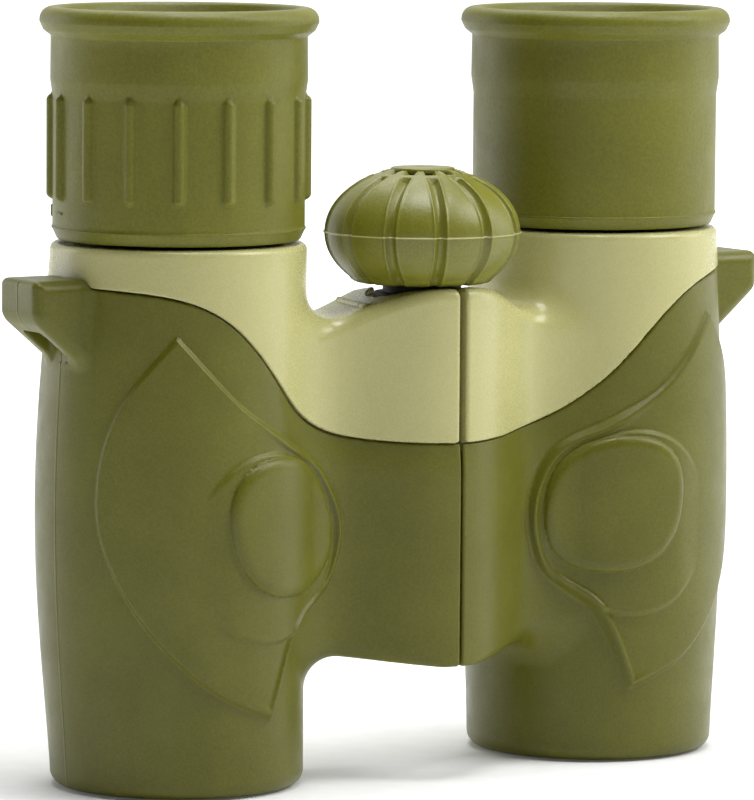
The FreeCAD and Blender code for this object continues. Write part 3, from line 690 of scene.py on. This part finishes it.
def flash_line(shader, colour):
    """The pale, thin moulding flash round the knob's widest line."""
    split = shader.node("ShaderNodeSeparateXYZ", Vector=shader.place)
    level = shader.remap(split.outputs["Z"], FLASH_HEIGHT - FLASH_HALF, FLASH_HEIGHT + FLASH_HALF,
                         0.0, 1.0)
    line = shader.ramp(level, [(0.25, BLACK), (0.4, WHITE), (0.6, WHITE),
                               (0.75, BLACK)])
    return shader.mix(line, colour, srgb(176, 170, 112))


def rubber(name, base, light, dark, grain_scale, grain_depth, roughness, shine,
           parted=False, flashed=False):
    """Matt moulded rubber: soft blotches, a fine sandy grain, and a few pale and dark specks."""
    shader = Shader(name)
    blotch = shader.noise(90.0, 4.0, 0.65)
    colour = shader.ramp(blotch, [(0.3, dark), (0.52, base), (0.75, light)])
    grain = shader.noise(grain_scale, 2.0, 0.7)
    tone = shader.ramp(grain, [(0.3, (0.84, 0.84, 0.82, 1)), (0.7, (1.12, 1.12, 1.13, 1))])
    colour = shader.mix(1.0, colour, tone, "MULTIPLY")
    speck = shader.noise(3900.0, 1.0, 0.4)
    pale = shader.remap(speck, 0.755, 0.80, 0.0, 0.3)
    colour = shader.mix(pale, colour, (light[0] * 2.0, light[1] * 2.0, light[2] * 2.6, 1))
    dust = shader.remap(speck, 0.242, 0.205, 0.0, 0.3)
    colour = shader.mix(dust, colour, (dark[0] * 0.35, dark[1] * 0.35, dark[2] * 0.35, 1))
    if flashed:
        colour = flash_line(shader, colour)
    rough = shader.remap(shader.noise(260.0, 3.0), 0.3, 0.7, roughness - 0.05, roughness + 0.07)
    shader.set(Base_Color=colour, Roughness=rough, Specular_IOR_Level=shine)
    shader.bump(shader.noise(240.0, 2.0), 0.10, 0.0004)
    shader.bump(grain, 0.6, grain_depth)
    if parted:
        parting_line(shader)
    return shader.done()


OLIVE = srgb(99, 99, 25)
OLIVE_LIGHT = srgb(104, 104, 28)
OLIVE_DARK = srgb(94, 94, 22)


def satin_plastic(name):
    """Pale injection-moulded plastic with a spark-eroded satin surface."""
    shader = Shader(name)
    cloud = shader.noise(60.0, 3.0, 0.5)
    colour = shader.ramp(cloud, [(0.35, srgb(181, 178, 119)), (0.65, srgb(186, 183, 124))])
    speck = shader.noise(3600.0, 1.0, 0.3)
    dust = shader.remap(speck, 0.225, 0.19, 0.0, 0.3)
    colour = shader.mix(dust, colour, srgb(120, 116, 72))
    grain = shader.noise(3900.0, 2.0, 0.6)
    rough = shader.remap(grain, 0.3, 0.7, 0.22, 0.32)
    shader.set(Base_Color=colour, Roughness=rough, Specular_IOR_Level=0.5,
               Subsurface_Weight=0.05, Subsurface_Scale=0.002)
    shader.surface.inputs["Subsurface Radius"].default_value = (1.0, 0.9, 0.4)
    shader.bump(shader.noise(330.0, 2.0), 0.10, 0.0002)
    shader.bump(grain, 0.55, 0.00004)
    return shader.done()


def black_plastic(name):
    shader = Shader(name)
    grain = shader.noise(2600.0, 2.0, 0.6)
    # Near-black: the plastic's own black, made darker still with painted shade for the shadowed
    # collar under the focus knob.
    colour = shader.ramp(shader.noise(150.0), [(0.3, srgb(15, 15, 15)), (0.7, srgb(22, 22, 21))])
    shader.set(Base_Color=colour, Roughness=shader.remap(grain, 0.3, 0.7, 0.5, 0.64),
               Specular_IOR_Level=0.25)
    shader.bump(grain, 0.3, 0.00003)
    return shader.done()


def turned_metal(name, first, second, roughness, ring_scale):
    """Lathe-turned metal: fine rings up the part and slightly uneven polish."""
    shader = Shader(name)
    wave = shader.node("ShaderNodeTexWave", Vector=shader.place, Scale=ring_scale, Distortion=1.5,
                       Detail=2.0)
    wave.bands_direction = "Z"
    rings = wave.outputs["Fac"]
    colour = shader.ramp(shader.noise(400.0), [(0.3, first), (0.7, second)])
    shader.set(Base_Color=colour, Metallic=1.0,
               Roughness=shader.remap(rings, 0.0, 1.0, roughness - 0.06, roughness + 0.08))
    shader.bump(rings, 0.2, 0.00001)
    return shader.done()


def black_anodised(name):
    shader = Shader(name)
    wave = shader.node("ShaderNodeTexWave", Vector=shader.place, Scale=900.0, Distortion=0.6,
                       Detail=1.0)
    wave.bands_direction = "Z"
    colour = shader.ramp(shader.noise(500.0), [(0.3, srgb(20, 20, 22)), (0.7, srgb(32, 32, 35))])
    shader.set(Base_Color=colour, Metallic=0.35,
               Roughness=shader.remap(wave.outputs["Fac"], 0.0, 1.0, 0.34, 0.48))
    shader.bump(wave.outputs["Fac"], 0.4, 0.00004)
    return shader.done()


def coated_glass(name, tint):
    """Clear glass with a coloured anti-reflection coating and the faintest dust."""
    shader = Shader(name)
    dust = shader.noise(2200.0, 2.0, 0.6)
    rough = shader.remap(dust, 0.62, 0.8, 0.02, 0.16)
    colour = shader.ramp(shader.noise(120.0), [(0.3, tint), (0.7, (0.9, 0.93, 0.97, 1.0))])
    shader.set(Base_Color=colour, Roughness=rough, IOR=1.52, Transmission_Weight=0.92,
               Coat_Weight=0.6, Coat_Roughness=0.03, Coat_Tint=(0.55, 0.45, 0.95, 1.0))
    return shader.done()


MATERIALS = {
    "armour_rubber": rubber("armour_rubber", OLIVE, OLIVE_LIGHT, OLIVE_DARK, 3600.0, 0.00004, 0.37,
                            0.36, parted=True),
    "housing_plastic": satin_plastic("housing_plastic"),
    "black_plastic": black_plastic("black_plastic"),
    "black_metal": black_anodised("black_metal"),
    "optical_glass": coated_glass("optical_glass", (0.80, 0.82, 0.97, 1.0)),
    "brass": turned_metal("brass", srgb(196, 160, 88), srgb(212, 178, 104), 0.3, 700.0),
    "steel": turned_metal("steel", srgb(168, 168, 166), srgb(192, 192, 190), 0.28, 800.0),
}
CUP_RUBBER = rubber("cup_rubber", srgb(107, 107, 28), srgb(112, 112, 31), srgb(102, 102, 25),
                    2600.0, 0.00006, 0.43, 0.35)
KNOB_RUBBER = rubber("knob_rubber", srgb(116, 116, 34), srgb(121, 121, 37), srgb(111, 111, 31),
                     3000.0, 0.00004, 0.38, 0.55, flashed=True)


def finish_piece(piece, body, slot, nodes, material=None):
    piece.data.materials.append(material or MATERIALS[slot])
    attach(piece, body)
    if nodes:
        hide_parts(*nodes)


# ---------------------------------------------------------------------------------------------
# Armour and housing

# Corners of the space each skin is looked for in, and the spacing of its samples
ARMOUR_SPACE = ((-25.0, -20.0, -0.8), (33.0, 20.5, 67.2), 0.3)
SHELL_SPACE = ((-18.0, -18.5, 38.0), (33.0, 20.5, 71.0), 0.27)
CORE_SPACE = ((-16.0, -17.5, 0.5), (39.0, 16.5, 64.0), 0.5)

armour_skin = skin_mesh(armour_field, *ARMOUR_SPACE)
shell_skin = skin_mesh(shell_field, *SHELL_SPACE)
for half, spans in (("left", LEFT_HUBS), ("right", RIGHT_HUBS)):
    piece = place_skin(half + "_armour_skin", armour_skin, half)
    finish_piece(piece, half + "_half", "armour_rubber", [half + "_armour"])
    piece = place_skin(half + "_housing_shell", shell_skin, half)
    finish_piece(piece, half + "_half", "housing_plastic", [half + "_housing"])
    core = skin_mesh(core_piece_field(spans), *CORE_SPACE)
    piece = place_skin(half + "_housing_core", core, half)
    finish_piece(piece, half + "_half", "housing_plastic", [half + "_housing"])


# ---------------------------------------------------------------------------------------------
# Eyecups

RIB_COUNT = 16
RIB_FOOT = 75.5
RIB_TOP = 88.8
RIB_WIDTH = 1.4
RIB_HEIGHT = 0.78
RIB_START = math.radians(-120.4)
CUP_RADIUS = 16.15
MARK_HEIGHT = 0.22
MARK_MIDDLE = 73.9
MARK_LENGTH = 1.5
MARK_WIDTH = 0.32
MARK_ANGLES = {"plus": math.radians(-235.4), "line": math.radians(-212.4),
               "minus": math.radians(-189.4)}
GRIP_INNER = 15.6


def cup_outline(top, foot, bore, inner_radius, nut_top):
    """Outline of an eyecup: grip, step, flared rim, round lip and eye hollow."""
    return rounded([
        (inner_radius, foot, 0.0), (15.55, foot, 0.25), (CUP_RADIUS, foot + 1.3, 0.08),
        (CUP_RADIUS + 0.12, foot + 1.4, 0.04), (CUP_RADIUS + 0.12, foot + 1.6, 0.04),
        (CUP_RADIUS, foot + 1.7, 0.05),
        (CUP_RADIUS, top - 11.4, 3.0), (16.47, top - 9.2, 3.0), (16.4, top - 3.65, 0.35),
        (17.35, top - 2.95, 0.8), (17.86, top - 1.85, 0.05), (17.75, top, 1.6),
        (15.3, top, 0.9), (14.3, top - 1.7, 1.2), (13.5, top - 5.0, 1.0), (13.5, 89.3, 0.3),
        (13.0, 89.3, 0.0),
        (13.0, 88.4, 0.0), (bore, 88.4, 0.0), (bore, nut_top, 0.0), (inner_radius, nut_top, 0.0)])


def rib_height(offset, z):
    """Height of a capsule-shaped rib at a distance round the cup and a height."""
    middle = (RIB_FOOT + RIB_TOP) / 2
    straight = (RIB_TOP - RIB_FOOT - RIB_WIDTH) / 2
    reach = np.hypot(offset, np.maximum(np.abs(z - middle) - straight, 0))
    dome = np.maximum(0, 1 - (reach / (RIB_WIDTH / 2 + 0.1)) ** 2)
    return RIB_HEIGHT * dome ** 0.7


def bar_height(across, along, length, width):
    edge = np.maximum(np.abs(across) - width / 2, np.abs(along) - length / 2)
    return MARK_HEIGHT * smooth_step((0.08 - edge) / 0.16)


def mark_height(turn, z):
    """The dioptre scale: a plus, a line and a minus, moulded under the ribs."""
    up = z - MARK_MIDDLE
    total = np.zeros_like(z)
    for name, angle in MARK_ANGLES.items():
        around = (np.mod(turn - angle + math.pi, 2 * math.pi) - math.pi) * CUP_RADIUS
        if name != "line":
            total = np.maximum(total, bar_height(up, around, MARK_LENGTH, MARK_WIDTH))
        if name != "minus":
            total = np.maximum(total, bar_height(around, up, MARK_LENGTH, MARK_WIDTH))
    return total


def ribbed(radius, z, turn):
    pitch = 2 * math.pi / RIB_COUNT
    offset = (np.mod(turn - RIB_START + pitch / 2, pitch) - pitch / 2) * CUP_RADIUS
    outside = radius > GRIP_INNER
    grown = radius + np.where(outside, rib_height(offset, z) + mark_height(turn, z), 0)
    return grown, z


def rib_angles():
    """Angles round the ribbed cup, close together at rib edges and at the scale marks."""
    half = RIB_WIDTH / 2
    near = [0.0, 0.3, half - 0.22, half - 0.12, half - 0.04, half + 0.04, half + 0.11]
    offsets = near + [-x for x in near[1:]] + [half + 0.5, -half - 0.5]
    gap = 2 * math.pi * CUP_RADIUS / RIB_COUNT
    offsets += [half + 0.5 + (gap - 2 * half - 1.0) * k / 8 for k in range(1, 8)]
    pitch = 2 * math.pi / RIB_COUNT
    angles = [RIB_START + pitch * k + x / CUP_RADIUS for k in range(RIB_COUNT) for x in offsets]
    for angle in MARK_ANGLES.values():
        angles += [angle + x / CUP_RADIUS for x in np.arange(-0.95, 0.96, 0.08)]
    return np.unique(np.round(np.mod(angles, 2 * math.pi), 4))


def rib_steps(a, b):
    """Row spacing for the ribbed cup's outline: fine at the rib ends and the scale marks."""
    z = (a[1] + b[1]) / 2
    outside = min(a[0], b[0]) > GRIP_INNER
    return 0.4 if outside and z < 90 else 1.5


def ribbed_line(line):
    """The ribbed cup's outline, with close rows where the ribs end and the marks are."""
    line = refine(line, rib_steps)
    extra = list(np.arange(RIB_FOOT - 0.25, RIB_FOOT + 1.0, 0.1))
    extra += list(np.arange(RIB_TOP - 1.0, RIB_TOP + 0.25, 0.1))
    extra += list(np.arange(MARK_MIDDLE - 0.9, MARK_MIDDLE + 0.91, 0.08))
    on_grip = [k for k, p in enumerate(line) if abs(p[0] - CUP_RADIUS) < 1e-6]
    first, last = on_grip[0], on_grip[-1]
    heights = np.unique(np.round([p[1] for p in line[first:last + 1]] + extra, 3))
    heights = heights[(heights >= line[first][1]) & (heights <= line[last][1])]
    grip = np.stack([np.full(len(heights), CUP_RADIUS), heights], 1)
    return np.vstack([line[:first], grip, line[last + 1:]])


left_line = ribbed_line(cup_outline(TOTAL_HEIGHT, low_mm("left_eyecup")[2], 12.36, 14.8, 76.8))
left_cup = lathe("left_eyecup_skin", left_line, rib_angles(), LEFT_BARREL, ribbed)
finish_piece(left_cup, "left_cup", "armour_rubber", ["left_eyecup"], CUP_RUBBER)
right_line = refine(cup_outline(RIGHT_TOP, low_mm("right_eyecup")[2], 12.3, 13.6, 71.4),
                    lambda a, b: 1.5)
right_cup = lathe("right_eyecup_skin", right_line, even_angles(256), RIGHT_BARREL)
finish_piece(right_cup, "right_half", "armour_rubber", ["right_eyecup"], CUP_RUBBER)


# ---------------------------------------------------------------------------------------------
# Focus knob

KNOB_RADIUS = high_mm("knob_cover")[0]
KNOB_HALF_HEIGHT = 8.5
KNOB_FOOT = 64.15
KNOB_SEAT = 78.4
GROOVE_COUNT = 12
GROOVE_HALF = 0.75
GROOVE_DEPTH = 0.68
GROOVE_LIP = 0.10
FLASH_RISE = 0.18
GROOVE_START = math.radians(8.3)
CORE_RADIUS = 6.4
CAP_RADIUS = 4.15
CAP_TOP = 79.12
SOCKET_TOP = 76.6
STEM_RADIUS = 1.7


def knob_outline():
    """Half section of the knob cover: foot, flattened ball, seat for the cap and inner socket."""
    start = math.asin((KNOB_FOOT + 0.9 - KNOB_MIDDLE) / KNOB_HALF_HEIGHT)
    angles = np.linspace(start, math.acos(3.6 / KNOB_RADIUS), 110)
    ball = np.stack([KNOB_RADIUS * np.cos(angles),
                     KNOB_MIDDLE + KNOB_HALF_HEIGHT * np.sin(angles)], 1)
    equator = np.stack([np.full(9, KNOB_RADIUS), KNOB_MIDDLE + np.linspace(-0.2, 0.2, 9)], 1)
    ball = np.vstack([ball, equator])
    ball = ball[np.argsort(ball[:, 1], kind="stable")]
    foot_radius = ball[0, 0]
    foot = np.array([(CORE_RADIUS, KNOB_FOOT), (foot_radius - 1.3, KNOB_FOOT),
                     (foot_radius - 0.75, KNOB_FOOT + 0.14), (foot_radius - 0.3, KNOB_FOOT + 0.48)])
    inner = np.array([(3.6, KNOB_SEAT), (STEM_RADIUS, KNOB_SEAT), (STEM_RADIUS, SOCKET_TOP),
                      (CORE_RADIUS, SOCKET_TOP)])
    return np.vstack([foot, ball, inner])


def grooved(radius, z, turn):
    """Presses the meridional grooves into the ball, along its surface normal."""
    pitch = 2 * math.pi / GROOVE_COUNT
    offset = (np.mod(turn - GROOVE_START + pitch / 2, pitch) - pitch / 2) * radius
    across = np.abs(offset) / GROOVE_HALF
    depth = GROOVE_DEPTH * np.maximum(0, 1 - across ** 2)
    lip = GROOVE_LIP * np.exp(-((across - 1.12) / 0.16) ** 2)
    fade = smooth_step((radius - 3.7) / 0.3) * smooth_step((z - KNOB_FOOT + 0.2) / 0.7)
    flash = FLASH_RISE * np.exp(-((z - KNOB_MIDDLE) / 0.09) ** 2)
    ball = (radius > CORE_RADIUS + 0.01) | (z > KNOB_SEAT - 0.01)
    grow = np.where(ball, fade * (lip + flash - depth), 0)
    nr = radius / KNOB_RADIUS ** 2
    nz = (z - KNOB_MIDDLE) / KNOB_HALF_HEIGHT ** 2
    size = np.hypot(nr, nz)
    return radius + grow * nr / size, z + grow * nz / size


def groove_angles():
    """Angles round the knob, close together across each groove at every radius."""
    pitch = 2 * math.pi / GROOVE_COUNT
    steps = np.concatenate([np.linspace(-0.085, 0.085, 23), np.linspace(0.10, 0.235, 8),
                            pitch - np.linspace(0.10, 0.235, 8)])
    return np.sort(np.mod([GROOVE_START + pitch * k + s for k in range(GROOVE_COUNT)
                           for s in steps], 2 * math.pi))


knob = lathe("knob_cover_skin", refine(knob_outline(), lambda a, b: 0.35), groove_angles(),
             HINGE_AXIS, grooved)
finish_piece(knob, "knob", "armour_rubber", ["knob_cover"], KNOB_RUBBER)

cap_line = rounded([(0.02, 76.9, 0.0), (1.6, 76.9, 0.0), (1.6, KNOB_SEAT, 0.0),
                    (CAP_RADIUS, KNOB_SEAT, 0.05), (CAP_RADIUS, CAP_TOP - 0.06, 0.22),
                    (2.0, CAP_TOP, 3.0), (0.02, CAP_TOP, 0.0)])
cap = lathe("knob_cap_disc", cap_line, even_angles(96), HINGE_AXIS)
finish_piece(cap, "knob", "armour_rubber", ["knob_cap"], KNOB_RUBBER)


# ---------------------------------------------------------------------------------------------
# CAD nodes that stay: only their finish changes

for entry in frame["record"]["subparts"]:
    node = frame["nodes"][entry["node"]]
    node.data.materials.clear()
    node.data.materials.append(MATERIALS[entry["material_slot"]])
    for polygon in node.data.polygons:
        polygon.material_index = 0


# ---------------------------------------------------------------------------------------------
# Floor, light and camera

# The camera's place round the object in degrees and metres, and its lens in millimetres
CAMERA_AZIMUTH = -32.36
CAMERA_ELEVATION = 5.85
CAMERA_ROLL = 0.42
CAMERA_DISTANCE = 0.82778
CAMERA_SIDE = -0.00157
CAMERA_HEIGHT = 0.04801
CAMERA_LENS = 284.28
CAMERA_SENSOR = 36.0

FLOOR_HALF = 3.0
FLOOR_GLOW = 0.06
BACKDROP_GLOW = 0.97
SKY_STRENGTH = 0.85


def floor():
    """White paper that glows faintly under the object and brightly away from it."""
    size = FLOOR_HALF
    mesh = bpy.data.meshes.new("floor")
    mesh.from_pydata([(-size, -size, 0), (size, -size, 0), (size, size, 0), (-size, size, 0)], [],
                     [(0, 1, 2, 3)])
    made = bpy.data.objects.new("floor", mesh)
    bpy.context.scene.collection.objects.link(made)
    shader = Shader("floor_paper")
    grain = shader.noise(300.0, 2.0)
    colour = shader.ramp(grain, [(0.3, (0.86, 0.86, 0.86, 1)), (0.7, (0.9, 0.9, 0.9, 1))])
    round_object = shader.node("ShaderNodeTexGradient", Vector=shader.place)
    round_object.gradient_type = "SPHERICAL"
    glow = shader.remap(round_object.outputs["Fac"], 0.8, 0.2, FLOOR_GLOW, BACKDROP_GLOW)
    shader.set(Base_Color=colour, Roughness=0.9, Specular_IOR_Level=0.1,
               Emission_Color=(1, 1, 1, 1), Emission_Strength=glow)
    mesh.materials.append(shader.done())


def area_light(name, place, target, size, power, colour=(1, 1, 1)):
    data = bpy.data.lights.new(name, "AREA")
    data.shape = "RECTANGLE"
    data.size, data.size_y = size
    data.energy = power
    data.color = colour
    made = bpy.data.objects.new(name, data)
    made.location = place
    made.rotation_mode = "QUATERNION"
    made.rotation_quaternion = (Vector(target) - Vector(place)).to_track_quat("-Z", "Y")
    bpy.context.scene.collection.objects.link(made)


LIGHT_DISTANCE = 0.8
LIGHT_SIZE = (0.4, 0.4)
MIDDLE = (0.0, 0.0, 0.05)


def softbox(name, azimuth, elevation, power):
    """A square softbox aimed at the object, placed by its bearing from the -Y side."""
    a = math.radians(azimuth)
    e = math.radians(elevation)
    place = (LIGHT_DISTANCE * math.sin(a) * math.cos(e),
             -LIGHT_DISTANCE * math.cos(a) * math.cos(e),
             MIDDLE[2] + LIGHT_DISTANCE * math.sin(e))
    area_light(name, place, MIDDLE, LIGHT_SIZE, power)


def white_backdrop():
    """A sky that is white behind the object and dark in front of it."""
    world = bpy.data.worlds.new("studio")
    world.use_nodes = True
    tree = world.node_tree
    place = tree.nodes.new("ShaderNodeTexCoord")
    turn = tree.nodes.new("ShaderNodeMapping")
    turn.inputs["Rotation"].default_value = (0, 0, math.radians(-(90 + CAMERA_AZIMUTH)))
    blend = tree.nodes.new("ShaderNodeTexGradient")
    ramp = tree.nodes.new("ShaderNodeValToRGB")
    dark, bright = ramp.color_ramp.elements
    dark.position, dark.color = 0.0, BLACK
    bright.position, bright.color = 0.6, WHITE
    background = tree.nodes["Background"]
    background.inputs["Strength"].default_value = SKY_STRENGTH
    tree.links.new(place.outputs["Generated"], turn.inputs["Vector"])
    tree.links.new(turn.outputs["Vector"], blend.inputs["Vector"])
    tree.links.new(blend.outputs["Fac"], ramp.inputs["Fac"])
    tree.links.new(ramp.outputs["Color"], background.inputs["Color"])
    bpy.context.scene.world = world


# Softboxes as (bearing in degrees, elevation in degrees, power in watts)
SOFTBOXES = {
    "key": (50, 44, 3.9),
    "side": (75, 16, 1.1),
    "top": (20, 86, 5.6),
    "back": (160, 55, 1.3),
    "rim": (-150, 12, 0.9),
}


def lights():
    white_backdrop()
    for name, (azimuth, elevation, power) in SOFTBOXES.items():
        softbox(name, azimuth, elevation, power)


def camera():
    a = math.radians(CAMERA_AZIMUTH)
    e = math.radians(CAMERA_ELEVATION)
    back = Vector((math.sin(a) * math.cos(e), -math.cos(a) * math.cos(e), math.sin(e)))
    right = Vector((math.cos(a), math.sin(a), 0))
    up = back.cross(right)
    roll = math.radians(CAMERA_ROLL)
    rolled_right = right * math.cos(roll) + up * math.sin(roll)
    rolled_up = up * math.cos(roll) - right * math.sin(roll)
    target = right * CAMERA_SIDE + Vector((0, BARREL_Y * METRE, CAMERA_HEIGHT))
    data = bpy.data.cameras.new("camera")
    data.lens = CAMERA_LENS
    data.sensor_width = CAMERA_SENSOR
    made = bpy.data.objects.new("camera", data)
    turn = Matrix((rolled_right, rolled_up, back)).transposed().to_4x4()
    made.matrix_world = Matrix.Translation(target + back * CAMERA_DISTANCE) @ turn
    bpy.context.scene.collection.objects.link(made)
    bpy.context.scene.camera = made


floor()
lights()
camera()
bpy.context.scene.view_settings.view_transform = "Standard"
